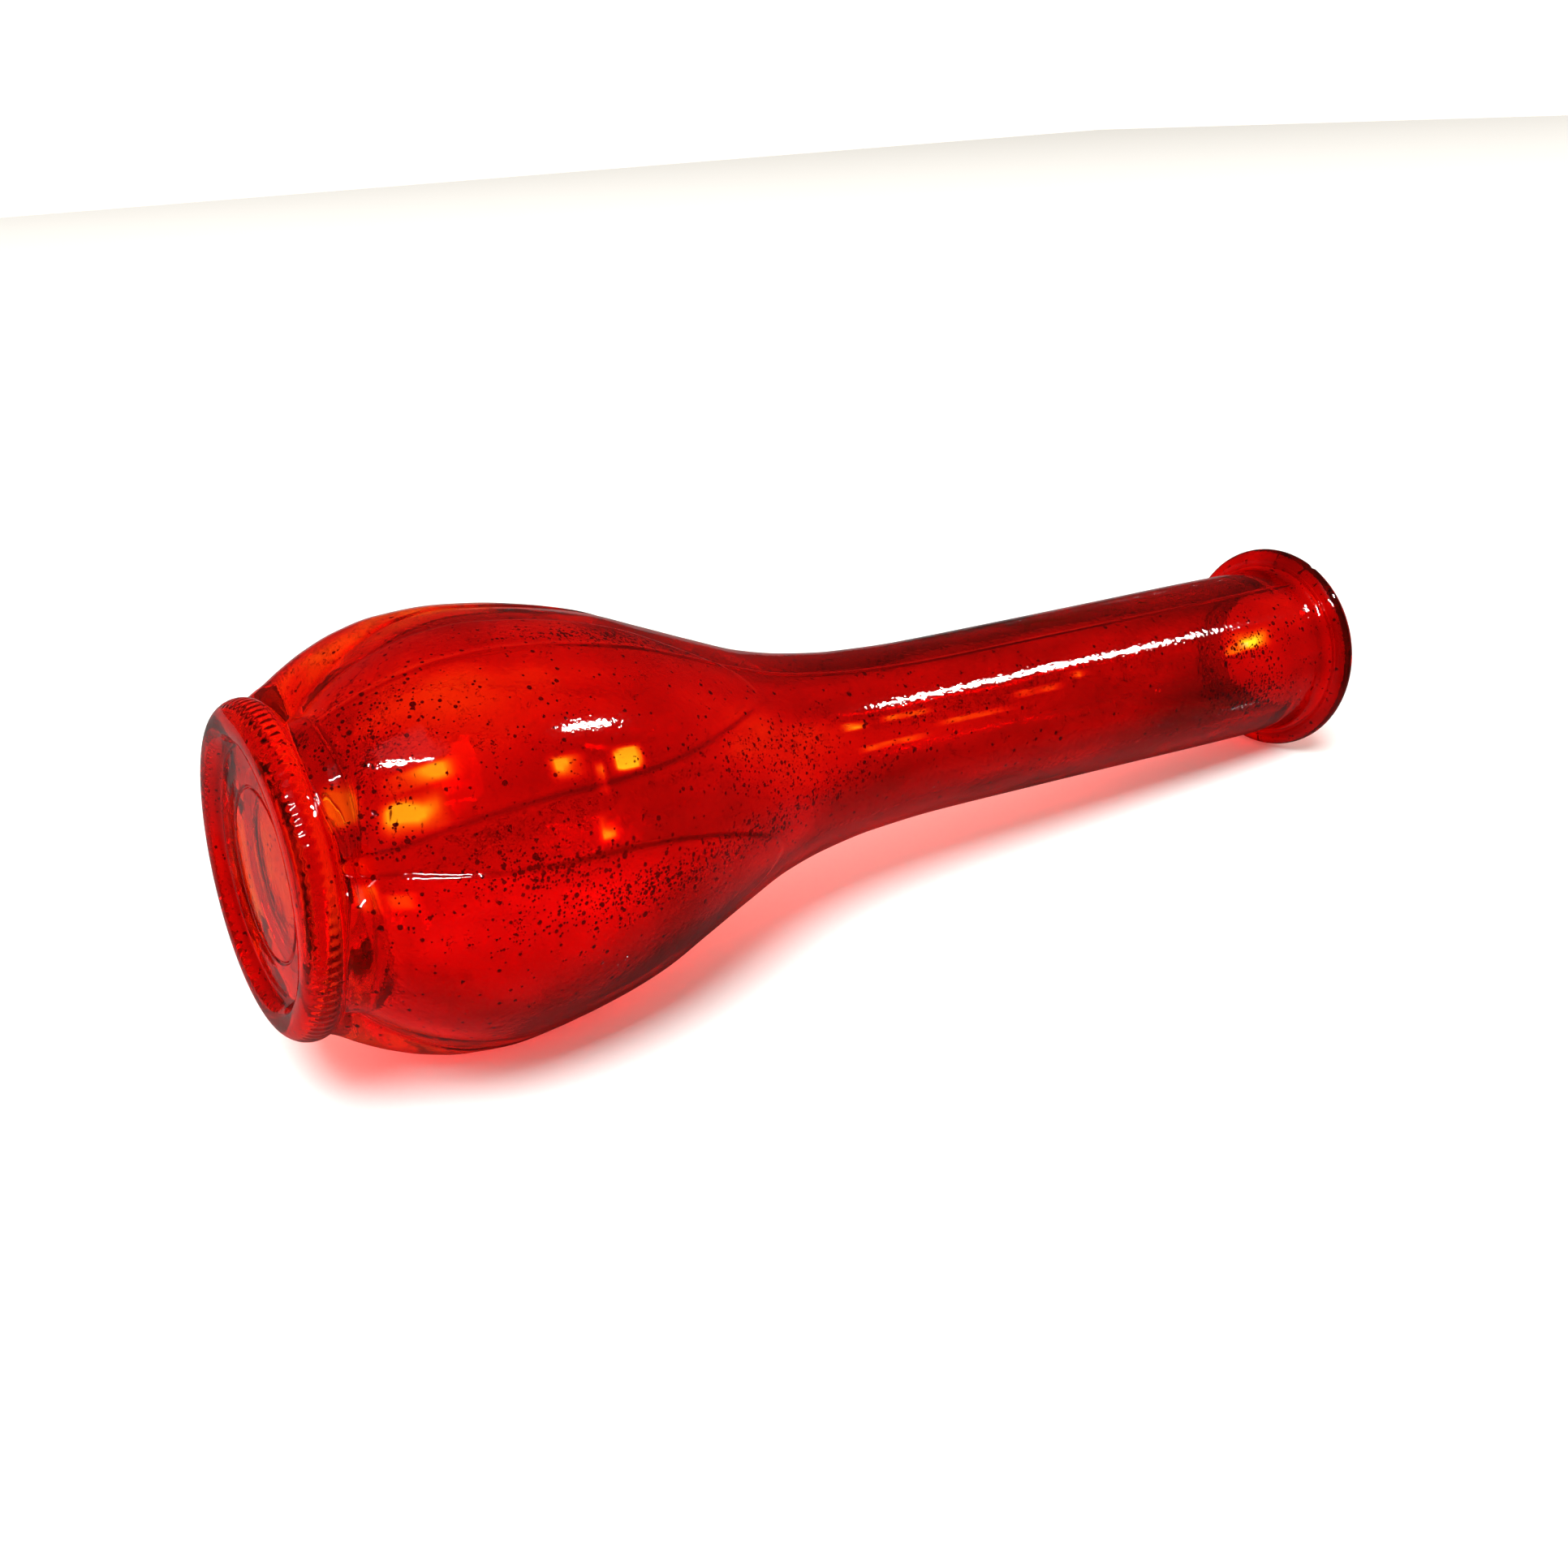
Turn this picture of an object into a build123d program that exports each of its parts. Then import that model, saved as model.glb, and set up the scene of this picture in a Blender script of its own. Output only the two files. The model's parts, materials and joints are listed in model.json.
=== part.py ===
from build123d import *
import math
import os

# A lobed glass bud vase lying on its side: it rests on one lobe of the bulb and on the edge of the lip.
# Lengths are in millimetres. Along the vase, heights are measured from the foot's bearing ring to the mouth.

# Overall
HEIGHT = 228.0
LOBES = 5

# Sections of the bulb: (height, radius at a lobe's crown, radius in a valley between lobes)
SECTIONS = (
    (5.0, 25.4, 20.4),
    (12.0, 30.1, 25.6),
    (21.0, 34.2, 31.9),
    (29.0, 35.7, 34.6),
    (38.0, 35.7, 34.8),
    (50.0, 34.0, 33.1),
    (62.0, 30.6, 30.0),
    (74.0, 25.8, 25.6),
    (86.0, 21.1, 21.1),
)
CONTACT = 4

# Neck, as (radius, height) from the bulb to the lip
NECK = ((21.1, 86.0), (18.3, 98.0), (16.9, 110.0), (16.4, 126.0), (17.0, 175.0), (17.7, 225.0))
NECK_START_SLOPE = (-0.33, 1.0)

# Foot: a rounded heel, a flat bearing land, a recessed underside with one incised circle
HEEL_R = 22.8
HEEL_ROUND = 3.4
LAND_HALF = 0.6
RECESS_R = 19.3
RECESS_DEPTH = 2.3
RECESS_SLOPE = 1.9
CIRCLE_R = 13.5
CIRCLE_DEPTH = 0.35

# Lip: a round-edged flange around the mouth
LIP_R = 21.8
LIP_ROUND = 1.95
LIP_FILLET = 1.0

# Hollow: a round-bottomed bulb, a straight bore through the neck, a flared mouth
BASE_H = 9.5
BORE_R = 13.4
BORE_START = 120.0
BORE_END = 212.0
MOUTH_R = 15.2
MOUTH_ROUND = 1.6
CAVITY = ((18.0, 12.2), (27.8, 21.5), (31.2, 34.5), (27.0, 59.0), (17.2, 87.0))
AXIAL = (0.0, 1.0)


def resting_tilt():
    """How far the vase's axis leans below level, so that a lobe's crown and the lip touch one plane."""
    crown_h, crown_r, valley_r = SECTIONS[CONTACT]
    rise = crown_r - (LIP_R - LIP_ROUND)
    run = (HEIGHT - LIP_ROUND) - crown_h
    return math.acos(LIP_ROUND / math.hypot(rise, run)) - math.atan2(run, rise)


TILT = resting_tilt()
SIN = math.sin(TILT)
COS = math.cos(TILT)
DOWN = Vector(-SIN, 0, -COS)
ALONG = Vector(COS, 0, -SIN)

# The foot's centre, placed so that the vase is centred along X and touches the level Z = 0
LOW_X = HEEL_ROUND * COS - HEEL_R * SIN - HEEL_ROUND
HIGH_X = (HEIGHT - LIP_ROUND) * COS + (LIP_R - LIP_ROUND) * SIN + LIP_ROUND
FOOT_X = -(LOW_X + HIGH_X) / 2
FOOT_Z = (HEIGHT - LIP_ROUND) * SIN + (LIP_R - LIP_ROUND) * COS + LIP_ROUND
FOOT_CENTRE = Vector(FOOT_X, 0, FOOT_Z)

# Planes: one across the axis at the foot, one through the axis for half sections (radius, height)
ACROSS = Plane(origin=FOOT_CENTRE, x_dir=DOWN, z_dir=ALONG)
MERIDIAN = Plane(origin=FOOT_CENTRE, x_dir=DOWN, z_dir=DOWN.cross(ALONG))
VASE_AXIS = Axis(FOOT_CENTRE, ALONG)


def lobed_section(crown_r, valley_r):
    """Closed outline of LOBES arcs, each from valley through crown to valley."""
    pitch = 360 / LOBES
    for lobe in range(LOBES):
        middle = lobe * pitch
        ThreePointArc(
            Vector(valley_r, 0).rotate(Axis.Z, middle - pitch / 2),
            Vector(crown_r, 0).rotate(Axis.Z, middle),
            Vector(valley_r, 0).rotate(Axis.Z, middle + pitch / 2),
        )


os.makedirs("parts", exist_ok=True)

with BuildPart() as glass_vase:
    # Bulb
    for height, crown_r, valley_r in SECTIONS:
        with BuildSketch(ACROSS.offset(height)):
            with BuildLine():
                lobed_section(crown_r, valley_r)
            make_face()
    loft()

    # Neck
    with BuildSketch(MERIDIAN):
        with BuildLine():
            Spline(*NECK, tangents=(NECK_START_SLOPE, AXIAL))
            Polyline(NECK[-1], (0, NECK[-1][1]), (0, NECK[0][1]), NECK[0])
        make_face()
    revolve(axis=VASE_AXIS)

    # Foot
    with BuildSketch(MERIDIAN):
        with BuildLine():
            Polyline(
                (0, 2 * HEEL_ROUND),
                (0, RECESS_DEPTH),
                (RECESS_R, RECESS_DEPTH),
                (RECESS_R + RECESS_SLOPE, LAND_HALF / 2),
                (HEEL_R - LAND_HALF, 0),
                (HEEL_R, 0),
            )
            ThreePointArc(
                (HEEL_R, 0),
                (HEEL_R + HEEL_ROUND, HEEL_ROUND),
                (HEEL_R, 2 * HEEL_ROUND),
            )
            Line((HEEL_R, 2 * HEEL_ROUND), (0, 2 * HEEL_ROUND))
        make_face()
    revolve(axis=VASE_AXIS)

    # Lip
    with BuildSketch(MERIDIAN):
        with BuildLine():
            Polyline(
                (LIP_R - LIP_ROUND, HEIGHT),
                (0, HEIGHT),
                (0, HEIGHT - 2 * LIP_ROUND),
                (LIP_R - LIP_ROUND, HEIGHT - 2 * LIP_ROUND),
            )
            ThreePointArc(
                (LIP_R - LIP_ROUND, HEIGHT - 2 * LIP_ROUND),
                (LIP_R, HEIGHT - LIP_ROUND),
                (LIP_R - LIP_ROUND, HEIGHT),
            )
        make_face()
    revolve(axis=VASE_AXIS)

    # Hollow
    with BuildSketch(MERIDIAN):
        with BuildLine():
            Polyline((MOUTH_R + MOUTH_ROUND, HEIGHT), (0, HEIGHT), (0, BASE_H))
            Spline((0, BASE_H), *CAVITY, (BORE_R, BORE_START), tangents=((1.0, 0.0), AXIAL))
            Line((BORE_R, BORE_START), (BORE_R, BORE_END))
            Spline(
                (BORE_R, BORE_END),
                (MOUTH_R, HEIGHT - MOUTH_ROUND),
                (MOUTH_R + MOUTH_ROUND, HEIGHT),
                tangents=(AXIAL, (1.0, 0.2)),
            )
        make_face()
    revolve(axis=VASE_AXIS, mode=Mode.SUBTRACT)

    # Incised circle under the foot
    with BuildSketch(MERIDIAN):
        with BuildLine():
            Polyline(
                (CIRCLE_R - CIRCLE_DEPTH, RECESS_DEPTH),
                (CIRCLE_R, RECESS_DEPTH + CIRCLE_DEPTH),
                (CIRCLE_R + CIRCLE_DEPTH, RECESS_DEPTH),
                close=True,
            )
        make_face()
    revolve(axis=VASE_AXIS, mode=Mode.SUBTRACT)

glass_vase.part.label = "glass_vase"
export_step(glass_vase.part, "parts/glass_vase.step")
box = glass_vase.part.bounding_box()
print(f"tilt {math.degrees(TILT):.3f} deg, foot at {FOOT_CENTRE}")
print(f"box {box.min} to {box.max}, volume {glass_vase.part.volume / 1000:.1f} cm3")
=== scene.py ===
"""A red glass bud vase lying on its side on a pale surface.

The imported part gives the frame. One operator builds the moulded glass around it, and one sets the stage.
Heights run from the foot ring to the lip along the vase's axis, in millimetres. Turns run round the axis in
degrees, from 0 straight down to the lobe that the vase lies on.
"""

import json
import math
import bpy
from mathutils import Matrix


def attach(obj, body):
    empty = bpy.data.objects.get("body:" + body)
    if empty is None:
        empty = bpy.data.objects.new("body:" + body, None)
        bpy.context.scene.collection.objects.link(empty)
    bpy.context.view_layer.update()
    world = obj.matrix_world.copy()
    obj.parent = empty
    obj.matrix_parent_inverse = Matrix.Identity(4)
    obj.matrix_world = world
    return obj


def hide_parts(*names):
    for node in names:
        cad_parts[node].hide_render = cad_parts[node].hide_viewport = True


bl_info = {
    "name": "Lobed glass bud vase",
    "version": (1, 0, 0),
    "blender": (4, 5, 0),
    "location": "View3D > Sidebar > Vase",
    "description": "Builds a pressed glass bud vase with a lobed bulb, and a pale stage for it",
    "category": "Add Mesh",
}

import bpy
import numpy as np
from mathutils import Matrix, Vector

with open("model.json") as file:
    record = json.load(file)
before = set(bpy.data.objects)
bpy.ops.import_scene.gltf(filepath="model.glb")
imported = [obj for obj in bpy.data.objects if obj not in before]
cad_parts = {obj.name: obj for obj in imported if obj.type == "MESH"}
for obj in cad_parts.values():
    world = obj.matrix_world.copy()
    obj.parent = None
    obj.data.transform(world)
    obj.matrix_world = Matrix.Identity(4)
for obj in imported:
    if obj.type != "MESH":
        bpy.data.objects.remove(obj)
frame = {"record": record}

MM = 0.001
LOBES = 5
PITCH = 360.0 / LOBES
HALF_PITCH = PITCH / 2

# The outside of the bulb by height: radius along a lobe's crown, radius in the flutes between the lobes
CROWN = (
    (5.0, 24.6), (6.0, 26.2), (7.5, 27.3), (9.0, 28.1), (12.0, 30.0), (16.0, 32.2), (21.0, 34.2),
    (27.0, 35.5), (34.0, 35.8), (42.0, 35.3), (50.0, 34.0), (59.0, 31.7), (68.0, 28.2), (78.0, 24.1),
    (88.0, 20.4),
)
FLUTE = (
    (5.0, 20.6), (6.0, 21.0), (7.5, 21.6), (9.0, 22.4), (12.0, 25.6), (16.0, 28.8), (21.0, 31.8),
    (27.0, 34.0), (34.0, 34.9), (42.0, 34.3), (50.0, 33.1), (59.0, 31.0), (68.0, 27.7), (78.0, 23.9),
    (88.0, 20.4),
)
NECK = (
    (98.0, 18.25), (110.0, 16.9), (125.0, 16.4), (150.0, 16.65), (175.0, 17.0), (200.0, 17.4),
    (222.0, 17.6),
)
# Half the width of a flute, in degrees, by height. It closes below and opens into the neck above
FLUTE_HALF = (
    (6.5, 0.4), (9.0, 3.0), (14.0, 3.8), (20.0, 5.8), (28.0, 7.2), (36.0, 8.0), (43.0, 8.3), (55.0, 10.2),
    (63.0, 13.4), (70.0, 18.0), (75.0, 22.6), (78.6, 27.0), (80.3, 32.5), (81.0, 36.0),
)
# The inside, by height: radius of the bulb's hollow and of the neck's bore
HOLLOW = (
    (9.5, 0.0), (9.6, 5.0), (9.9, 10.0), (10.6, 14.0), (12.2, 18.2), (15.5, 23.0), (21.5, 27.8),
    (28.0, 30.4), (34.5, 31.2), (42.0, 30.9), (50.0, 29.6), (59.0, 27.0), (68.0, 23.9), (78.0, 20.2),
    (88.0, 16.9), (98.0, 14.9), (110.0, 13.8), (125.0, 13.4), (150.0, 13.4), (175.0, 13.4), (212.0, 13.5),
)
# Up to the first height it is only a floor, up to the second it is both floor and side
FLOOR_ONLY, FLOOR_TOP = 12.0, 22.0

# Panels between the flutes: where they begin and where they end, as heights over which each does so
PANEL_BEGIN, PANEL_END, PANEL_CLOSE = (6.0, 12.0), (76.0, 81.0), (80.2, 81.4)
PANEL_EDGE = 0.45
LOBE_POWER = 2.3
HEEL_BLEND = 0.5
SEAM_WIDTH = 0.9

# The lip: where its fillet starts, the fillet's radius, the rise and turned lines of its back, a notch
LIP_START = 220.5
LIP_FILLET = 1.6
LIP_RISE = 0.2
LIP_LINE, LIP_LINE_RATE = 0.22, 14.0
NOTCH, NOTCH_WIDTH = 0.35, 1.6
# The mouth: where it starts to flare, its bore, its radius at the top, and how the flare curves
MOUTH_START = 219.5
MOUTH_BORE = 13.5
MOUTH_RADIUS = 16.6
MOUTH_EDGE = 0.5
MOUTH_POWERS = (1.3, 0.8)
TOP_DIP = 0.35

# Rows of vertices: from, to and the gap between them, by radius on flat parts and by height on the rest
UNDERSIDE_ROWS = ((0.6, 11.5, 1.2), (11.5, 15.5, 0.14))
OUTSIDE_ROWS = (
    (8.5, 14.0, 0.4), (14.0, 70.0, 0.9), (70.0, 83.0, 0.4), (83.0, 120.0, 1.2), (120.0, LIP_START, 1.8),
)
INSIDE_ROWS = ((MOUTH_START, 120.0, 2.4), (120.0, 16.0, 1.3))
FLOOR_ROWS = (23.3, 0.6, 1.1)
HEEL_TOP, HEEL_GAP = 8.5, 0.17

# Where pits crowd in the coating: height, turn, spread in height, spread in turn, density
PITTED = (
    (15.0, -148.0, 6.0, 9.0, 0.28), (58.0, -161.0, 17.0, 4.0, 0.75), (50.0, -88.0, 18.0, 5.0, 0.8),
    (75.0, -87.0, 14.0, 6.0, 0.6), (35.0, -99.0, 9.0, 4.0, 0.8), (26.0, -103.0, 6.0, 3.0, 0.4),
    (165.0, -178.0, 42.0, 9.0, 0.6), (203.0, -78.0, 9.0, 14.0, 0.5), (200.0, -116.0, 8.0, 9.0, 0.35),
    (80.0, -113.0, 12.0, 12.0, 0.35), (97.0, -93.0, 12.0, 8.0, 0.35), (11.0, -118.0, 4.0, 18.0, 0.22),
    (60.0, -15.0, 20.0, 8.0, 0.5), (55.0, 60.0, 18.0, 6.0, 0.5), (20.0, 110.0, 9.0, 16.0, 0.45),
    (150.0, 80.0, 40.0, 12.0, 0.4),
)
PITS_EVERYWHERE = 0.05
PITS_CROWDED = 1.2
# Sizes of pit: cells per metre, radius as a share of a cell, share of the density above
PIT_SIZES = ((800.0, 0.30, 0.7), (1300.0, 0.36, 1.0), (2200.0, 0.36, 1.0))

# The coating is heavier on one side than opposite, by this share at this turn, and evens out in the neck
HEAVY_SHARE = 0.86
HEAVY_TURN = -118.0
HEAVY_BEGIN, HEAVY_FADE, HEAVY_LOSS = (4.0, 9.0), (175.0, 200.0), 0.55
# Where it is thin, which paints highlights: the lamps' reflections inside the glass show amber there.
# Height, turn, spread in height, spread in turn, share that is gone
THIN_HIGHLIGHTS = (
    (8.2, -128.0, 2.2, 7.0, 1.0), (18.0, -128.0, 4.6, 2.8, 1.0), (16.5, -119.5, 4.2, 5.4, 1.0),
    (38.5, -122.0, 3.0, 3.2, 1.0), (48.5, -121.5, 2.8, 3.2, 1.0), (43.5, -118.0, 1.0, 4.0, 0.80),
    (43.0, -106.0, 1.8, 3.6, 0.95), (9.3, -98.0, 1.6, 4.5, 1.0), (13.0, -97.0, 2.0, 2.5, 0.80),
    (202.0, -121.0, 5.5, 7.0, 1.0), (196.0, -117.0, 3.0, 4.0, 0.85), (112.0, -121.5, 6.0, 2.0, 0.75),
    (143.0, -119.0, 6.0, 2.5, 0.75), (154.0, -123.6, 2.0, 3.0, 0.80), (100.0, -121.0, 3.0, 2.5, 0.85),
    (108.0, -107.0, 8.0, 2.0, 0.60), (128.0, -112.0, 9.0, 2.0, 0.60), (38.0, -190.0, 34.0, 13.0, 0.45),
)
THIN_POWER, THIN_RAGGED, THIN_MOST = 5, 0.6, 0.98
# Where it is thick and darker, with the same columns and what is added. The lower side of the bulb, at turn
# -70, is darkened there as painted shade
THICK_AND_SHADE = (
    (140.0, -170.0, 50.0, 18.0, 0.15), (90.0, -134.0, 7.0, 7.0, 0.7), (189.0, -100.0, 5.0, 12.0, 0.4),
    (207.0, -140.0, 8.0, 20.0, 0.3), (150.0, -76.0, 40.0, 8.0, 0.4), (40.0, -70.0, 40.0, 26.0, 0.55),
    (30.0, -100.0, 18.0, 6.0, 0.1), (215.0, -100.0, 5.0, 60.0, 0.4),
)
THICK_POWER = 2
# What is added in the flutes, along the panels' edges, on the neck and under the lip. In the flutes, along
# the edges and under the lip it is painted shade of the creases
SHADE_BEGIN, SHADE_END = (8.0, 14.0), (66.0, 80.0)
FLUTE_SHADE, EDGE_SHADE, EDGE_SHADE_WIDTH = 0.12, 0.6, 0.8
POOL_NECK, NECK_BEGIN = 0.3, (80.0, 110.0)
LIP_SHADE, LIP_HEIGHT, LIP_WIDTH = 0.9, 221.5, 1.3
# The coating under the foot, on the heel, at the recess's edge and in its circle, and just inside the mouth
FOOT_COAT, HEEL_COAT, HEEL_FADE = 0.9, 0.2, (4.0, 9.0)
RECESS_COAT, RECESS_OFF, RECESS_WIDTH, CIRCLE_COAT = 1.2, 0.6, 0.5, 1.5
MOUTH_COAT, MOUTH_COATED = 0.45, (187.0, 200.0)

# Lamps: name, direction from the vase, direction of the long side, sides as shares of the distance
LAMPS = (
    ("lamp_foot", (-0.43, -0.52, 0.74), (0.80, -0.60, 0.0), (0.42, 0.03)),
    ("lamp_neck", (0.688, -0.371, 0.618), (0.72, 0.37, -0.59), (0.21, 0.05)),
)
LAMP_AWAY = 6.0
KEY_TOWARDS = (-0.42, -0.5, 1.0)
KEY_ALONG = (1.0, 0.0, 0.0)
KEY_SIZE = (0.45, 0.45)
# Where the floor, from near to far, mirrors brighter, and where the sky, from low to high, gets softer
FLOOR_NEAR, FLOOR_FAR = -0.06, 0.03
SKY_LOW, SKY_HIGH = 0.1, 0.6
SKY_COLOUR = (1.0, 0.95, 0.86, 1.0)
# The camera's right and its view, as parts along the axis, towards the camera, and across both
CAMERA_RIGHT = (0.8275, 0.5169, 0.2192)
CAMERA_AHEAD = (0.5264, -0.8501, 0.0173)
BOUNCES = 20


def smooth_curve(points):
    """A monotone cubic through (x, y) points, as a function of an array."""
    x = np.array([p[0] for p in points])
    y = np.array([p[1] for p in points])
    gap = np.diff(x)
    slope = np.diff(y) / gap
    tangent = np.zeros(len(x))
    tangent[0], tangent[-1] = slope[0], slope[-1]
    both = slope[:-1] * slope[1:] > 0
    mean = 2 * slope[:-1] * slope[1:] / np.where(both, slope[:-1] + slope[1:], 1.0)
    tangent[1:-1] = np.where(both, mean, 0.0)

    def at(value):
        value = np.clip(value, x[0], x[-1])
        i = np.clip(np.searchsorted(x, value, side="right") - 1, 0, len(x) - 2)
        t = (value - x[i]) / gap[i]
        rise = y[i] * (1 + 2 * t) * (1 - t) ** 2 + y[i + 1] * t * t * (3 - 2 * t)
        return rise + gap[i] * t * (1 - t) * (tangent[i] * (1 - t) - tangent[i + 1] * t)

    return at


def smooth_step(value, low, high):
    """0 below low, 1 above high, and a smooth rise between them."""
    t = np.clip((value - low) / (high - low), 0.0, 1.0)
    return t * t * (3 - 2 * t)


def between(value, begin, end):
    """1 between two smooth steps: up over the begin pair, down over the end pair."""
    return smooth_step(value, *begin) * (1 - smooth_step(value, *end))


def bump(value, centre, width):
    """1 at the centre, falling away on both sides over about width."""
    return np.exp(-(((value - centre) / width) ** 2))


def soft_max(a, b, width):
    """The larger of a and b, rounded over about width where they cross."""
    h = np.clip(0.5 + 0.5 * (a - b) / width, 0.0, 1.0)
    return b + (a - b) * h + width * h * (1 - h)


def spaced(low, high, gap):
    """Evenly spaced values from low to high, up or down, without high itself."""
    return np.linspace(low, high, max(2, round(abs(high - low) / gap)), endpoint=False)


def from_crown(turn):
    """Degrees from the nearest lobe's crown, from -36 to 36."""
    return (turn + HALF_PITCH) % PITCH - HALF_PITCH


def turned_from(turn, centre):
    """Degrees from a centre, from -180 to 180."""
    return (turn - centre + 180.0) % 360.0 - 180.0


class VaseShape(bpy.types.PropertyGroup):
    """The moulded glass, in millimetres."""

    height: bpy.props.FloatProperty(
        name="Height", description="Foot ring to lip", default=228.0, min=100.0
    )
    columns: bpy.props.IntProperty(
        name="Columns", description="Vertices round the axis", default=720, min=90
    )
    heel_radius: bpy.props.FloatProperty(
        name="Heel radius", description="Centre of the heel's round", default=22.8
    )
    heel_round: bpy.props.FloatProperty(
        name="Heel round", description="Radius of the heel's round", default=3.4
    )
    heel_height: bpy.props.FloatProperty(
        name="Heel height", description="Height of its widest part", default=3.75
    )
    ribs: bpy.props.IntProperty(name="Ribs", description="Fine ribs round the heel", default=96, min=0)
    rib_depth: bpy.props.FloatProperty(name="Rib depth", description="Depth of the ribs", default=0.09)
    rib_slant: bpy.props.FloatProperty(
        name="Rib slant", description="Degrees each rib turns per mm", default=0.55
    )
    recess_radius: bpy.props.FloatProperty(
        name="Recess radius", description="Edge of the foot's recess", default=19.3
    )
    recess_depth: bpy.props.FloatProperty(
        name="Recess depth", description="Depth of the foot's recess", default=2.4
    )
    circle_radius: bpy.props.FloatProperty(
        name="Circle radius", description="Incised circle in the foot", default=13.5
    )
    circle_depth: bpy.props.FloatProperty(
        name="Circle depth", description="Depth of that circle", default=0.3
    )
    lip_radius: bpy.props.FloatProperty(
        name="Lip radius", description="Outer radius of the lip", default=21.8
    )
    lip_round: bpy.props.FloatProperty(
        name="Lip round", description="Radius of the lip's edge", default=2.1
    )
    panel_step: bpy.props.FloatProperty(
        name="Panel step", description="How far a lobe's edge stands out", default=0.3
    )
    seam_turn: bpy.props.FloatProperty(
        name="Seam turn", description="Degrees from straight down to a mould seam", default=23.5
    )
    seam_height: bpy.props.FloatProperty(
        name="Seam height", description="Height of the mould seams", default=0.12
    )
    wave: bpy.props.FloatProperty(name="Wave", description="Unevenness of the inner wall", default=0.30)


class VaseGlass(bpy.types.PropertyGroup):
    """The glass and its red coating."""

    red: bpy.props.FloatVectorProperty(
        name="Coating", description="Colour through two coated walls", subtype="COLOR",
        default=(0.44, 0.0010, 0.0001),
    )
    # Amber shows where the coating is thin, in the patches that are painted highlights
    highlight_amber: bpy.props.FloatVectorProperty(
        name="Amber", description="Colour where the coating is thin", subtype="COLOR",
        default=(1.0, 0.85, 0.02),
    )
    index: bpy.props.FloatProperty(
        name="Index", description="Refractive index", default=1.5, min=1.0, max=3.0
    )
    roughness: bpy.props.FloatProperty(
        name="Roughness", description="Roughness of the glass", default=0.035
    )
    pit: bpy.props.FloatVectorProperty(
        name="Pits", description="Colour of the pits in the coating", subtype="COLOR",
        default=(0.012, 0.0, 0.0),
    )
    peel: bpy.props.FloatProperty(
        name="Peel", description="Depth of the coating's fine relief, mm", default=0.02
    )


class VaseStage(bpy.types.PropertyGroup):
    """Floor, lights and camera."""

    floor_size: bpy.props.FloatProperty(
        name="Floor", description="Width of the floor", default=8.0, unit="LENGTH"
    )
    floor_colour: bpy.props.FloatVectorProperty(
        name="Floor colour", description="Colour of the floor", subtype="COLOR",
        default=(0.93, 0.925, 0.915),
    )
    mirrored_near: bpy.props.FloatProperty(
        name="Near floor", description="Share of the near floor's brightness that glass mirrors",
        default=0.02,
    )
    mirrored_far: bpy.props.FloatProperty(
        name="Far floor", description="Share of the far floor's brightness that glass mirrors",
        default=0.13,
    )
    sky: bpy.props.FloatProperty(name="Sky", description="Brightness of the sky overhead", default=0.6)
    horizon: bpy.props.FloatProperty(name="Horizon", description="Brightness low down", default=1.25)
    mirrored: bpy.props.FloatProperty(
        name="Mirrored", description="Sky as the glass mirrors it", default=0.03
    )
    lamp: bpy.props.FloatProperty(
        name="Lamps", description="Brightness of the lamps' faces", default=200.0
    )
    key: bpy.props.FloatProperty(
        name="Key", description="Brightness of the soft light overhead", default=20.0
    )
    lens: bpy.props.FloatProperty(name="Lens", description="Focal length in mm", default=36.48)
    along: bpy.props.FloatProperty(
        name="Along", description="Camera from the foot, along the axis, mm", default=-55.437
    )
    away: bpy.props.FloatProperty(
        name="Away", description="Camera from the foot, off the axis, mm", default=242.159
    )
    turn: bpy.props.FloatProperty(
        name="Turn", description="Degrees from straight down to the camera", default=113.5
    )


class VaseSettings(bpy.types.PropertyGroup):
    """Everything that can be set."""

    shape: bpy.props.PointerProperty(type=VaseShape)
    glass: bpy.props.PointerProperty(type=VaseGlass)
    stage: bpy.props.PointerProperty(type=VaseStage)


def vase_frame():
    """Foot centre, axis towards the mouth, the direction down to the lowest lobe, and the side direction."""
    foot = next(m for m in frame["record"]["mounts"] if m["name"] == "foot")
    axis = -Vector(foot["axis"]).normalized()
    side = Vector((0.0, 1.0, 0.0))
    down = axis.cross(side).normalized()
    down = down if down.z < 0 else -down
    centre = Vector(foot["pos_m"])
    centre.y = 0.0
    return centre, axis, down, side


def waviness(height, turn, seed):
    """A smooth, uneven field over the wall, about -1 to 1, the same each run."""
    rng = np.random.default_rng(seed)
    total = np.zeros(np.broadcast(height, turn).shape)
    for _ in range(26):
        around = rng.integers(1, 12)
        along = rng.normal(0.0, 0.11)
        phase = rng.uniform(0, 2 * math.pi)
        size = 1.0 / (1.0 + 0.18 * around + 6.0 * abs(along))
        total += size * np.sin(np.radians(turn) * around + height * along + phase)
    return total / 4.0


def seam(turn, centre, width):
    """A narrow rounded ridge at centre and opposite it."""
    off = (turn - centre + 90.0) % 180.0 - 90.0
    return bump(off, 0.0, width)


def bulb_radius(s, height, turn):
    """Radius of the outside from the waist to the lip, by height and turn."""
    crown = smooth_curve(CROWN + NECK)(height)
    flute = smooth_curve(FLUTE + NECK)(height)
    half = HALF_PITCH - smooth_curve(FLUTE_HALF)(height)
    off = np.abs(from_crown(turn))
    inside = np.clip(off / np.maximum(half, 0.5), 0.0, 1.0)
    step = s.panel_step * between(height, PANEL_BEGIN, PANEL_END)
    lobe = flute + step + (crown - flute - step) * (1 - inside**LOBE_POWER)
    edge = np.degrees(PANEL_EDGE / flute)
    on_panel = 1 - smooth_step(off, half - edge, half + edge)
    on_panel = on_panel * (1 - smooth_step(height, *PANEL_CLOSE))
    return flute + (lobe - flute) * on_panel


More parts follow.
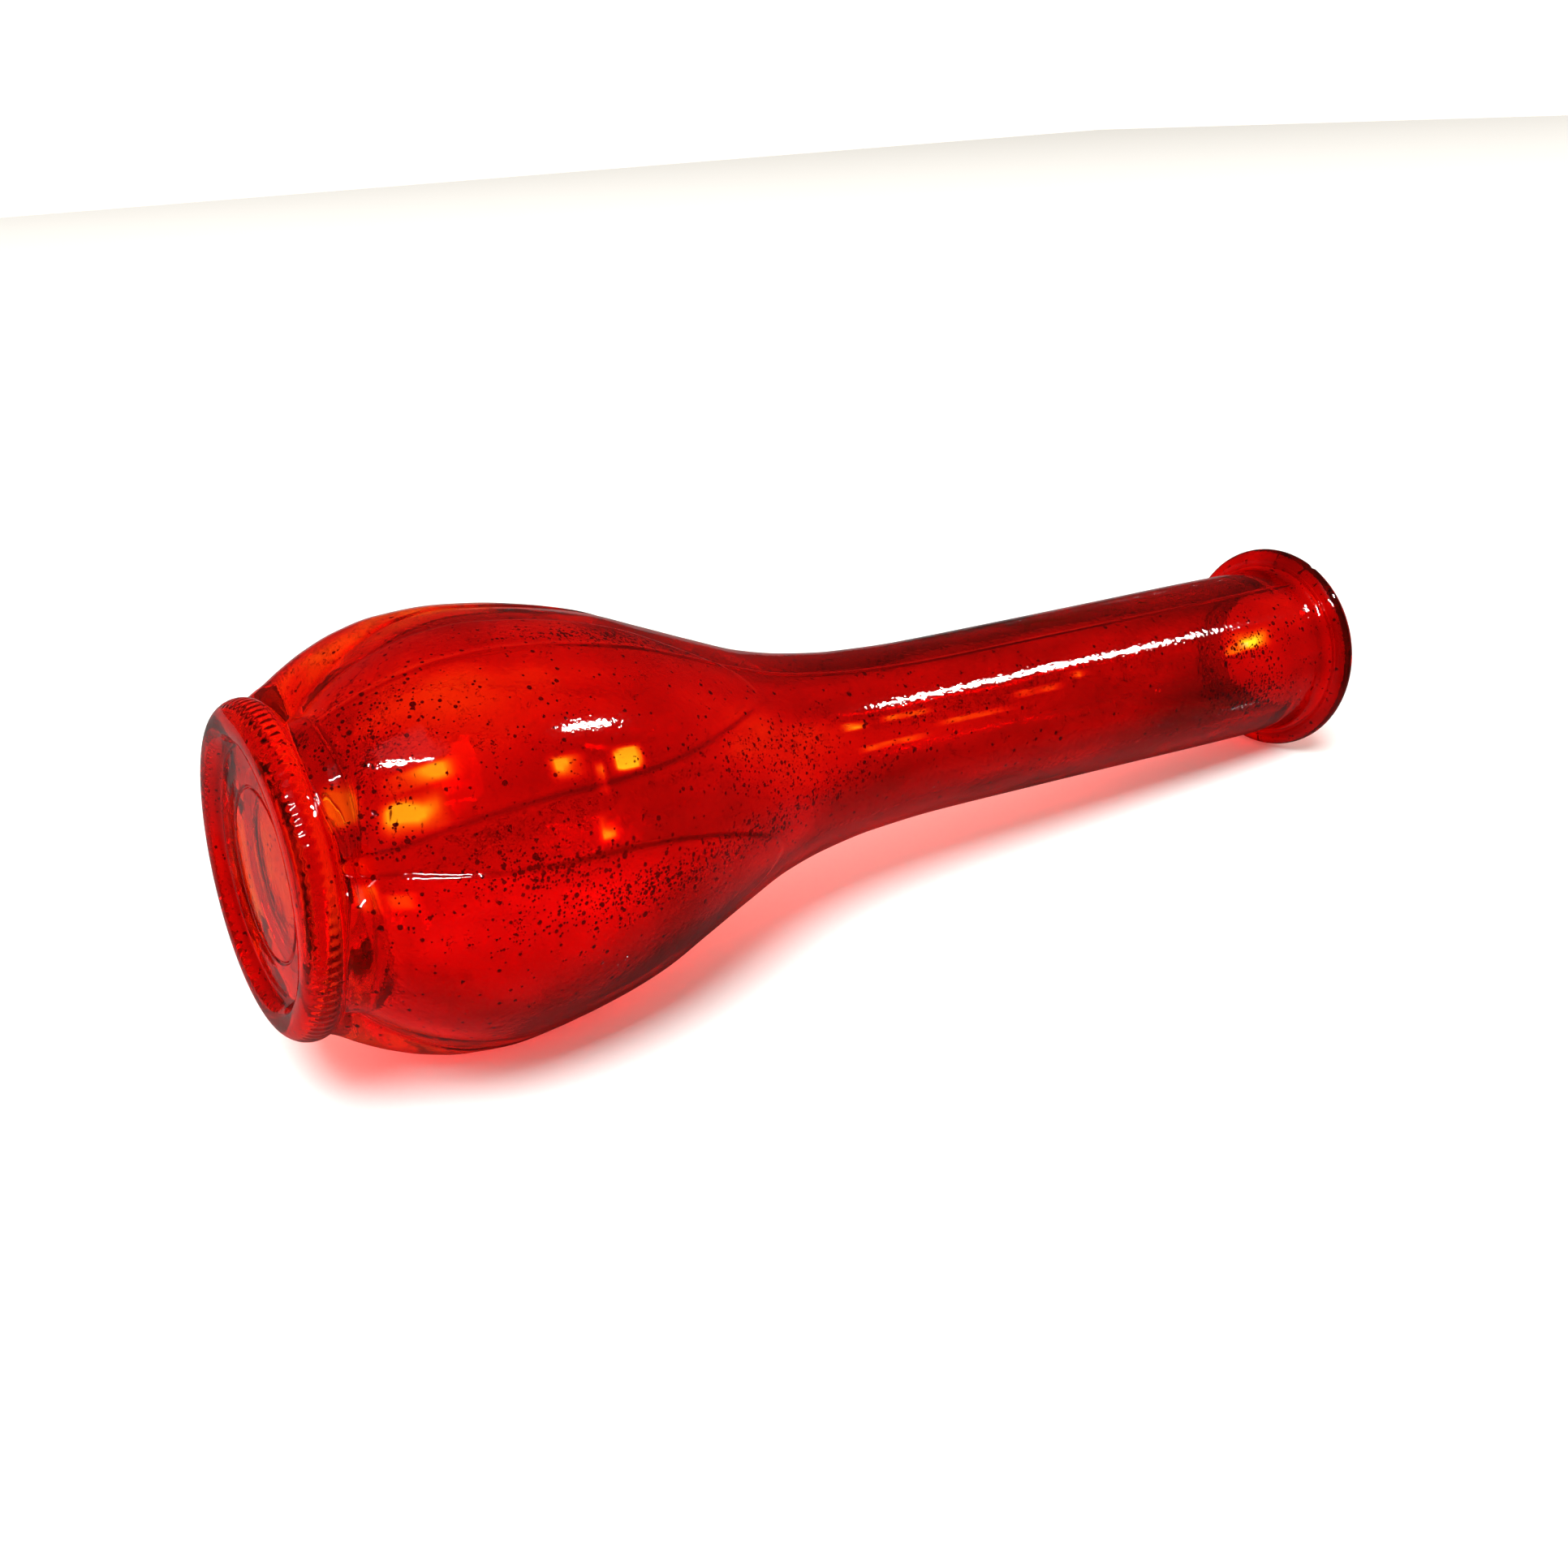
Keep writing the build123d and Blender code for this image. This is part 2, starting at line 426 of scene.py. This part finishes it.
def outside_row(s, height, turn):
    """Radii of one row of the outside above the heel's widest part."""
    tube = s.heel_round**2 - (height - s.heel_height) ** 2
    bulb = bulb_radius(s, np.full_like(turn, height), turn)
    if tube > 0:
        heel = s.heel_radius + math.sqrt(tube)
        bulb = soft_max(np.full_like(turn, heel), bulb, HEEL_BLEND)
    ridge = seam(turn, s.seam_turn, SEAM_WIDTH) * s.seam_height * smooth_step(height, *PANEL_BEGIN)
    return bulb + ridge


def on_circle(s, radius, turn):
    """How far into the foot's incised circle, 0 to 1. The circle is a little off the axis."""
    angle = np.radians(turn)
    away = np.hypot(radius * np.cos(angle) - 0.5, radius * np.sin(angle))
    return bump(away, s.circle_radius, 0.22)


def underside_rows(s, turn):
    """From the foot's centre to the heel's widest part, as (radii, heights) rows."""
    land = s.heel_radius - 1.0
    circle_end = UNDERSIDE_ROWS[-1][1]
    spans = UNDERSIDE_ROWS + ((circle_end, s.recess_radius, 0.5), (s.recess_radius, land, 0.22))
    for radius in np.concatenate([spaced(*span) for span in spans]):
        ring = np.full_like(turn, radius)
        groove = on_circle(s, ring, turn)
        fall = smooth_step(ring, s.recess_radius, land)
        floor = s.recess_depth - 0.25 * smooth_step(ring, circle_end, s.recess_radius)
        yield ring, floor * (1 - fall) + s.circle_depth * groove
    for around in spaced(-90.0, 0.0, 5.0):
        lift = math.radians(around)
        radius = s.heel_radius + s.heel_round * math.cos(lift)
        height = s.heel_height * (1 + math.sin(lift))
        yield np.full_like(turn, radius), np.full_like(turn, height)


def ribbed(s, radius, height, turn):
    """The heel's fine slanted ribs, pressed into these radii."""
    window = between(height, (0.5, 1.8), (3.6, 5.2))
    window = window * smooth_step(radius, s.heel_radius + 0.4, s.heel_radius + 1.8)
    wave = 0.5 - 0.5 * np.cos(np.radians(s.ribs * (turn + s.rib_slant * height)))
    return radius - s.rib_depth * window * wave


def outside_rows(s, turn):
    """From the heel's widest part up to the lip's back."""
    spans = ((s.heel_height, HEEL_TOP, HEEL_GAP),) + OUTSIDE_ROWS
    for height in np.concatenate([spaced(*span) for span in spans]):
        yield outside_row(s, height, turn), np.full_like(turn, height)


def lip_rows(s, turn):
    """The fillet under the lip, its back with fine turned lines, its edge, and its top."""
    back = s.height - 2 * s.lip_round
    neck = outside_row(s, LIP_START, turn)
    for part in spaced(0.0, 90.0, 9.0):
        angle = math.radians(part)
        radius = neck + LIP_FILLET * (1 - math.cos(angle))
        height = LIP_START + (back - LIP_START - LIP_RISE) * math.sin(angle)
        yield radius, np.full_like(turn, height)
    start = neck + LIP_FILLET
    end = s.lip_radius - s.lip_round
    for part in spaced(0.0, 1.0, 0.08):
        radius = start + (end - start) * part
        line = LIP_LINE * math.sin(part * LIP_LINE_RATE) ** 2
        yield radius, np.full_like(turn, back - LIP_RISE + LIP_RISE * part - line)
    notch = NOTCH * seam(turn, s.seam_turn, NOTCH_WIDTH) * (np.abs(turn - s.seam_turn) > 90)
    for part in spaced(-90.0, 90.0, 9.0):
        angle = math.radians(part)
        radius = end + s.lip_round * math.cos(angle)
        height = s.height - s.lip_round + s.lip_round * math.sin(angle)
        yield radius - notch * math.cos(angle), np.full_like(turn, height)
    for radius in np.linspace(end, MOUTH_RADIUS, 6):
        dip = TOP_DIP * (end - radius) / (end - MOUTH_RADIUS)
        yield np.full_like(turn, radius), np.full_like(turn, s.height - dip * dip)


def inside_rows(s, turn):
    """From the mouth down the bore and round the hollow to the middle of the base."""
    rise = s.height - MOUTH_EDGE - MOUTH_START
    for part in spaced(0.0, 90.0, 10.0):
        angle = math.radians(part)
        flare = (1 - math.sin(angle)) ** MOUTH_POWERS[0]
        radius = MOUTH_BORE + (MOUTH_RADIUS - MOUTH_BORE) * flare
        height = MOUTH_START + rise * math.cos(angle) ** MOUTH_POWERS[1]
        yield np.full_like(turn, radius), np.full_like(turn, height)
    radius_at = smooth_curve([point for point in HOLLOW if point[0] > FLOOR_ONLY])
    for height in np.concatenate([spaced(*span) for span in INSIDE_ROWS]):
        fade = between(height, (14.0, 24.0), (195.0, 210.0))
        amount = s.wave * fade * (0.45 + 0.55 * (1 - smooth_step(height, 80.0, 120.0)))
        ring = np.full_like(turn, height)
        yield radius_at(ring) + amount * waviness(ring, turn, 7), ring
    height_at = smooth_curve([(r, h) for h, r in HOLLOW if h < FLOOR_TOP])
    for radius in spaced(*FLOOR_ROWS):
        ring = np.full_like(turn, radius)
        yield ring, height_at(ring)


def pit_density(height, turn):
    """How crowded the pits are, from a few everywhere to most in the patches."""
    total = np.full(turn.shape, PITS_EVERYWHERE)
    for centre, around, along, across, most in PITTED:
        off = turned_from(turn, around)
        total += PITS_CROWDED * most * np.exp(-(((height - centre) / along) ** 2) - (off / across) ** 2)
    return total


def patches(height, turn, table, power):
    """The strongest patch of a table at each point: soft ones for power 2, flat ones for more."""
    most = np.zeros(turn.shape)
    for centre, around, along, across, amount in table:
        off = turned_from(turn, around)
        shape = np.exp(-(np.abs((height - centre) / along) ** power) - np.abs(off / across) ** power)
        most = np.maximum(most, amount * shape)
    return most


def highlight_thinness(height, turn):
    """The share of the coating that is missing, with broken edges. These thin patches are painted
    highlights: the lamps' reflections inside the glass, fixed in the coating.
    """
    ragged = 1.0 + THIN_RAGGED * waviness(np.full_like(turn, height * 5.0), turn * 4.0, 3)
    return np.clip(patches(height, turn, THIN_HIGHLIGHTS, THIN_POWER) * ragged, 0.0, THIN_MOST)


def coat_with_painted_light(height, turn):
    """The coating's depth: heavier on one side, deeper along the flutes, the panels' edges and under the lip
    as painted shade, thicker in patches, some of them painted shade, and thin in places as painted
    highlights.
    """
    half = smooth_curve(FLUTE_HALF)(height)
    off = HALF_PITCH - np.abs(from_crown(turn))
    bulb = between(height, SHADE_BEGIN, SHADE_END)
    # Flutes, panels' edges and lip: painted shade of the creases
    depth = 1.0 + FLUTE_SHADE * bulb * (1 - smooth_step(off, 0.6 * half, 1.3 * half))
    depth = depth + EDGE_SHADE * bulb * bump(off, half, EDGE_SHADE_WIDTH)
    depth = depth + POOL_NECK * smooth_step(height, *NECK_BEGIN)
    depth = depth + patches(height, turn, THICK_AND_SHADE, THICK_POWER)
    depth = depth + LIP_SHADE * bump(height, LIP_HEIGHT, LIP_WIDTH)
    share = HEAVY_SHARE * smooth_step(height, *HEAVY_BEGIN)
    share = share * (1 - HEAVY_LOSS * smooth_step(height, *HEAVY_FADE))
    heavy = 1.0 + share * np.cos(np.radians(turn - HEAVY_TURN))
    # The thin patches taken off here are painted highlights
    return depth * heavy * (1 - highlight_thinness(height, turn))


def outside_coat(s, radius, height, turn):
    """The share of that depth on the outside, which differs on the foot."""
    heel = smooth_step(radius, s.recess_radius, s.heel_radius)
    coat = HEEL_COAT * heel * (1 - smooth_step(height, *HEEL_FADE))
    if height.max() >= s.heel_height:
        return 1.0 + coat
    edge = bump(radius, s.recess_radius + RECESS_OFF, RECESS_WIDTH)
    coat = coat + FOOT_COAT + (1 - FOOT_COAT) * heel
    return coat + RECESS_COAT * edge + CIRCLE_COAT * on_circle(s, radius, turn)


def vase_rows(s):
    """The turns, all rows of the closed surface, and how coated each one is, painted highlights and painted
    shade included.
    """
    turn = np.arange(s.columns) * 360.0 / s.columns
    rows, coats = [], []
    for source in (underside_rows, outside_rows, lip_rows):
        for radius, height in source(s, turn):
            radius = ribbed(s, radius, height, turn)
            rows.append((radius, height))
            coats.append(outside_coat(s, radius, height, turn) * coat_with_painted_light(height, turn))
    for radius, height in inside_rows(s, turn):
        rows.append((radius, height))
        coats.append(MOUTH_COAT * smooth_step(height, *MOUTH_COATED) * coat_with_painted_light(height, turn))
    return turn, rows, coats


def ring_faces(count, around):
    """Quads between rings of vertices, and a fan of triangles to a point at each end."""
    first = np.arange(count - 1)[:, None] * around
    here = np.arange(around)[None, :]
    there = (here + 1) % around
    quads = np.stack((first + here, first + there, first + around + there, first + around + here), -1)
    faces = quads.reshape(-1, 4).tolist()
    low, high = count * around, count * around + 1
    last = (count - 1) * around
    for i in range(around):
        j = (i + 1) % around
        faces.append((j, i, low))
        faces.append((last + i, last + j, high))
    return faces


def closed_mesh(name, turn, rows, coats):
    """A watertight mesh of the rows, with its coating and its pits as attributes "coat" and "pits". The
    coating carries the painted highlights and painted shade too.
    """
    centre, axis, down, side = vase_frame()
    angle = np.radians(turn)
    across = np.outer(np.cos(angle), down) + np.outer(np.sin(angle), side)
    points = [across * radius[:, None] + np.outer(height, axis) for radius, height in rows]
    ends = [np.array(axis) * np.mean(rows[0][1]), np.array(axis) * np.mean(rows[-1][1])]
    grid = np.concatenate(points + [np.array(ends)]) * MM + np.array(centre)
    mesh = bpy.data.meshes.new(name)
    mesh.from_pydata(grid.tolist(), [], ring_faces(len(rows), len(turn)))
    pits = [pit_density(height, turn) for radius, height in rows]
    for key, values in (("coat", coats), ("pits", pits)):
        layer = mesh.attributes.new(key, "FLOAT", "POINT")
        ends = [values[0].mean(), values[-1].mean()]
        layer.data.foreach_set("value", np.concatenate(values + [ends]))
    mesh.polygons.foreach_set("use_smooth", [True] * len(mesh.polygons))
    mesh.update()
    return mesh


def node(tree, kind, **inputs):
    """A new shader node with some of its inputs set by name."""
    made = tree.nodes.new(kind)
    for key, value in inputs.items():
        made.inputs[key].default_value = value
    return made


def math_node(tree, operation, first, second):
    """A maths node fed by sockets or plain numbers."""
    made = tree.nodes.new("ShaderNodeMath")
    made.operation = operation
    for socket, value in zip(made.inputs, (first, second)):
        if isinstance(value, (int, float)):
            socket.default_value = value
        else:
            tree.links.new(value, socket)
    return made.outputs[0]


def mix_colour(tree, factor, first, second, blend="MIX"):
    """Two colours mixed by a factor. Each is a socket, or a colour that is the same all over."""
    made = node(tree, "ShaderNodeMix")
    made.data_type = "RGBA"
    made.blend_type = blend
    tree.links.new(factor, made.inputs["Factor"])
    for key, colour in (("A", first), ("B", second)):
        if isinstance(colour, bpy.types.NodeSocket):
            tree.links.new(colour, made.inputs[key])
        else:
            made.inputs[key].default_value = (*colour, 1.0)
    return made.outputs["Result"]


def attribute(tree, name):
    """A number stored on the mesh."""
    made = tree.nodes.new("ShaderNodeAttribute")
    made.attribute_name = name
    return made.outputs["Fac"]


def noise(tree, place, scale, detail, stretch=(1.0, 1.0, 1.0)):
    """Smooth noise, about 0.5. A small stretch draws it out along that direction."""
    sized = node(tree, "ShaderNodeMapping", Scale=stretch)
    made = node(tree, "ShaderNodeTexNoise", Scale=scale, Detail=detail)
    tree.links.new(place, sized.inputs["Vector"])
    tree.links.new(sized.outputs["Vector"], made.inputs["Vector"])
    return made.outputs["Fac"]


def pit_mask(tree, place, density, scale, size):
    """Small round pits: 1 inside a pit, 0 outside. More of them where density is higher."""
    cells = node(tree, "ShaderNodeTexVoronoi", Scale=scale)
    tree.links.new(place, cells.inputs["Vector"])
    chance = node(tree, "ShaderNodeSeparateColor")
    tree.links.new(cells.outputs["Color"], chance.inputs["Color"])
    present = math_node(tree, "LESS_THAN", chance.outputs["Red"], density)
    radius = math_node(tree, "MULTIPLY", chance.outputs["Green"], size)
    radius = math_node(tree, "ADD", radius, size * 0.4)
    inside = math_node(tree, "LESS_THAN", cells.outputs["Distance"], radius)
    return math_node(tree, "MULTIPLY", present, inside)


def all_pits(tree, place, coat):
    """Pits of every size, where there is any coating."""
    crowd = attribute(tree, "pits")
    pits = 0.0
    for scale, size, share in PIT_SIZES:
        density = math_node(tree, "MULTIPLY", crowd, share)
        pits = math_node(tree, "MAXIMUM", pits, pit_mask(tree, place, density, scale, size))
    return math_node(tree, "MULTIPLY", pits, math_node(tree, "GREATER_THAN", coat, 0.05))


def coating_colour(tree, g, place, coat, pits):
    """The coating: deeper red where it is thicker, which includes painted shade, amber where it is thin,
    which paints highlights, and dark in the pits.
    """
    uneven = math_node(tree, "MULTIPLY", noise(tree, place, 70.0, 2.0, (0.35, 1.0, 1.0)), 2.0)
    uneven = math_node(tree, "MAXIMUM", uneven, 0.3)
    deep = node(tree, "ShaderNodeGamma", Color=(*g.red, 1.0))
    tree.links.new(math_node(tree, "MULTIPLY", coat, uneven), deep.inputs["Gamma"])
    coated = math_node(tree, "GREATER_THAN", coat, 0.02)
    tinted = mix_colour(tree, coated, deep.outputs["Color"], g.highlight_amber, "MULTIPLY")
    return mix_colour(tree, pits, tinted, g.pit)


def surface_normal(tree, g, place, coat, pits):
    """The coating's fine peel, the glass's slow ripple, and the pits' depth."""
    peel = math_node(tree, "MULTIPLY", noise(tree, place, 900.0, 2.0), coat)
    ripple = math_node(tree, "MULTIPLY", noise(tree, place, 110.0, 1.0, (0.5, 1.0, 1.0)), 6.0)
    relief = math_node(tree, "ADD", peel, ripple)
    relief = math_node(tree, "SUBTRACT", relief, math_node(tree, "MULTIPLY", pits, 1.5))
    raised = node(tree, "ShaderNodeBump", Distance=g.peel * MM, Strength=1.0)
    tree.links.new(relief, raised.inputs["Height"])
    return raised.outputs["Normal"]


def glass_material(g):
    """Clear glass with a red coating outside. Light straight through it to a lamp leaves a red glow."""
    material = bpy.data.materials.new("red_glass")
    material.use_nodes = True
    tree = material.node_tree
    tree.nodes.clear()
    link = tree.links.new
    place = node(tree, "ShaderNodeTexCoord").outputs["Object"]
    # The coat also carries painted highlights where it is thin and painted shade where it is deeper
    coat = attribute(tree, "coat")
    pits = all_pits(tree, place, coat)
    colour = coating_colour(tree, g, place, coat, pits)

    body = node(tree, "ShaderNodeBsdfPrincipled", IOR=g.index, Roughness=g.roughness)
    body.inputs["Transmission Weight"].default_value = 1.0
    link(colour, body.inputs["Base Color"])
    link(surface_normal(tree, g, place, coat, pits), body.inputs["Normal"])

    one_wall = node(tree, "ShaderNodeGamma", Gamma=0.8)
    clear = node(tree, "ShaderNodeBsdfTransparent")
    link(colour, one_wall.inputs["Color"])
    link(one_wall.outputs["Color"], clear.inputs["Color"])
    path = node(tree, "ShaderNodeLightPath")
    mix = node(tree, "ShaderNodeMixShader")
    link(path.outputs["Is Shadow Ray"], mix.inputs["Fac"])
    link(body.outputs["BSDF"], mix.inputs[1])
    link(clear.outputs["BSDF"], mix.inputs[2])
    link(mix.outputs["Shader"], node(tree, "ShaderNodeOutputMaterial").inputs["Surface"])
    return material


class VASE_OT_glass(bpy.types.Operator):
    """Build the moulded glass with its lobes, ribs, seams and lip"""

    bl_idname = "vase.glass"
    bl_label = "Glass"

    def execute(self, context):
        settings = context.scene.vase
        turn, rows, coats = vase_rows(settings.shape)
        mesh = closed_mesh("vase_glass", turn, rows, coats)
        glass = bpy.data.objects.new("vase_glass", mesh)
        context.scene.collection.objects.link(glass)
        mesh.materials.append(glass_material(settings.glass))
        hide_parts("glass_vase")
        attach(glass, "root")
        return {"FINISHED"}


def add_lamp(name, towards, along, size, bright):
    """A rectangular lamp far off in a direction, its long side along another, as bright as given."""
    centre = vase_frame()[0]
    back = Vector(towards).normalized()
    right = Vector(along)
    right = (right - back * right.dot(back)).normalized()
    matrix = Matrix((right, back.cross(right), back)).transposed().to_4x4()
    matrix.translation = centre + back * LAMP_AWAY
    data = bpy.data.lights.new(name, "AREA")
    data.shape = "RECTANGLE"
    data.size, data.size_y = (side * LAMP_AWAY for side in size)
    data.energy = bright * math.pi * data.size * data.size_y
    lamp = bpy.data.objects.new(name, data)
    lamp.matrix_world = matrix
    bpy.context.scene.collection.objects.link(lamp)
    return lamp


def is_mirrored(tree):
    """1 for a ray that glass has mirrored and not let through, else 0."""
    path = node(tree, "ShaderNodeLightPath")
    through = math_node(tree, "SUBTRACT", 1.0, path.outputs["Is Transmission Ray"])
    return math_node(tree, "MULTIPLY", path.outputs["Is Glossy Ray"], through)


def ranged(tree, value, low, high, at_low, at_high):
    """A number that goes from at_low to at_high while the value goes from low to high."""
    limits = {"From Min": low, "From Max": high, "To Min": at_low, "To Max": at_high}
    made = node(tree, "ShaderNodeMapRange", **limits)
    tree.links.new(value, made.inputs["Value"])
    return made.outputs["Result"]


def part_of(tree, kind, key):
    """One part, X, Y or Z, of the texture coordinates of a kind."""
    parts = node(tree, "ShaderNodeSeparateXYZ")
    tree.links.new(node(tree, "ShaderNodeTexCoord").outputs[kind], parts.inputs["Vector"])
    return parts.outputs[key]


def floor_material(s):
    """A matt, nearly white surface. Glass mirrors it dimmer than it is, and dimmest on the near side."""
    material = bpy.data.materials.new("floor")
    material.use_nodes = True
    tree = material.node_tree
    body = tree.nodes["Principled BSDF"]
    body.inputs["Roughness"].default_value = 0.7
    body.inputs["Specular IOR Level"].default_value = 0.0
    across = part_of(tree, "Object", "Y")
    dim = ranged(tree, across, FLOOR_NEAR, FLOOR_FAR, s.mirrored_near, s.mirrored_far)
    colour = mix_colour(tree, is_mirrored(tree), s.floor_colour, dim)
    tree.links.new(colour, body.inputs["Base Color"])
    return material


def studio_world(s):
    """A sky that is white low down and softer overhead. Glass mirrors a dimmer one, as in a dark room."""
    world = bpy.data.worlds.new("studio")
    world.use_nodes = True
    tree = world.node_tree
    sky = ranged(tree, part_of(tree, "Generated", "Z"), SKY_LOW, SKY_HIGH, s.horizon, s.sky)
    seen = node(tree, "ShaderNodeMix", B=s.mirrored)
    tree.links.new(is_mirrored(tree), seen.inputs["Factor"])
    tree.links.new(sky, seen.inputs["A"])
    back = tree.nodes["Background"]
    back.inputs["Color"].default_value = SKY_COLOUR
    tree.links.new(seen.outputs["Result"], back.inputs["Strength"])
    return world


def camera_matrix(s):
    """The camera looks at the vase a little from above, beyond the foot."""
    centre, axis, down, side = vase_frame()
    turn = math.radians(s.turn)
    facing = down * math.cos(turn) - side * math.sin(turn)
    low = down * math.sin(turn) + side * math.cos(turn)
    right, ahead = (axis * a + facing * b + low * c for a, b, c in (CAMERA_RIGHT, CAMERA_AHEAD))
    right.normalize()
    up = right.cross(ahead).normalized()
    ahead = up.cross(right)
    matrix = Matrix((right, up, -ahead)).transposed().to_4x4()
    matrix.translation = centre + (axis * s.along + facing * s.away) * MM
    return matrix


class VASE_OT_stage(bpy.types.Operator):
    """Add the pale floor, the soft lights and the camera"""

    bl_idname = "vase.stage"
    bl_label = "Stage"

    def execute(self, context):
        scene = context.scene
        s = scene.vase.stage
        half = s.floor_size / 2
        corners = [(-half, -half, 0), (half, -half, 0), (half, half, 0), (-half, half, 0)]
        mesh = bpy.data.meshes.new("floor")
        mesh.from_pydata(corners, [], [(0, 1, 2, 3)])
        mesh.materials.append(floor_material(s))
        floor = bpy.data.objects.new("floor", mesh)
        scene.collection.objects.link(floor)
        scene.world = studio_world(s)
        for name, towards, along, size in LAMPS:
            lamp = add_lamp(name, towards, along, size, s.lamp)
            lamp.visible_diffuse = False
        key = add_lamp("key", KEY_TOWARDS, KEY_ALONG, KEY_SIZE, s.key)
        key.visible_glossy = False
        data = bpy.data.cameras.new("camera")
        data.sensor_width = 36.0
        data.lens = s.lens
        data.clip_start = 0.01
        camera = bpy.data.objects.new("camera", data)
        camera.matrix_world = camera_matrix(s)
        scene.collection.objects.link(camera)
        scene.camera = camera
        scene.view_settings.view_transform = "Standard"
        scene.cycles.max_bounces = BOUNCES
        scene.cycles.transmission_bounces = BOUNCES
        scene.cycles.glossy_bounces = BOUNCES
        return {"FINISHED"}


STEPS = (VASE_OT_glass, VASE_OT_stage)


class VASE_PT_panel(bpy.types.Panel):
    """Buttons for the vase and its stage"""

    bl_idname = "VASE_PT_panel"
    bl_label = "Glass bud vase"
    bl_space_type = "VIEW_3D"
    bl_region_type = "UI"
    bl_category = "Vase"

    def draw(self, context):
        for step in STEPS:
            self.layout.operator(step.bl_idname)


CLASSES = (VaseShape, VaseGlass, VaseStage, VaseSettings, *STEPS, VASE_PT_panel)


def register():
    """Register the classes and hang the settings on the scene."""
    for cls in CLASSES:
        bpy.utils.register_class(cls)
    bpy.types.Scene.vase = bpy.props.PointerProperty(type=VaseSettings)


def unregister():
    """Undo register."""
    del bpy.types.Scene.vase
    for cls in reversed(CLASSES):
        bpy.utils.unregister_class(cls)


def main():
    """Build everything."""
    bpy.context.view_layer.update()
    register()
    bpy.ops.vase.glass()
    bpy.ops.vase.stage()


if __name__ == "__main__":
    main()
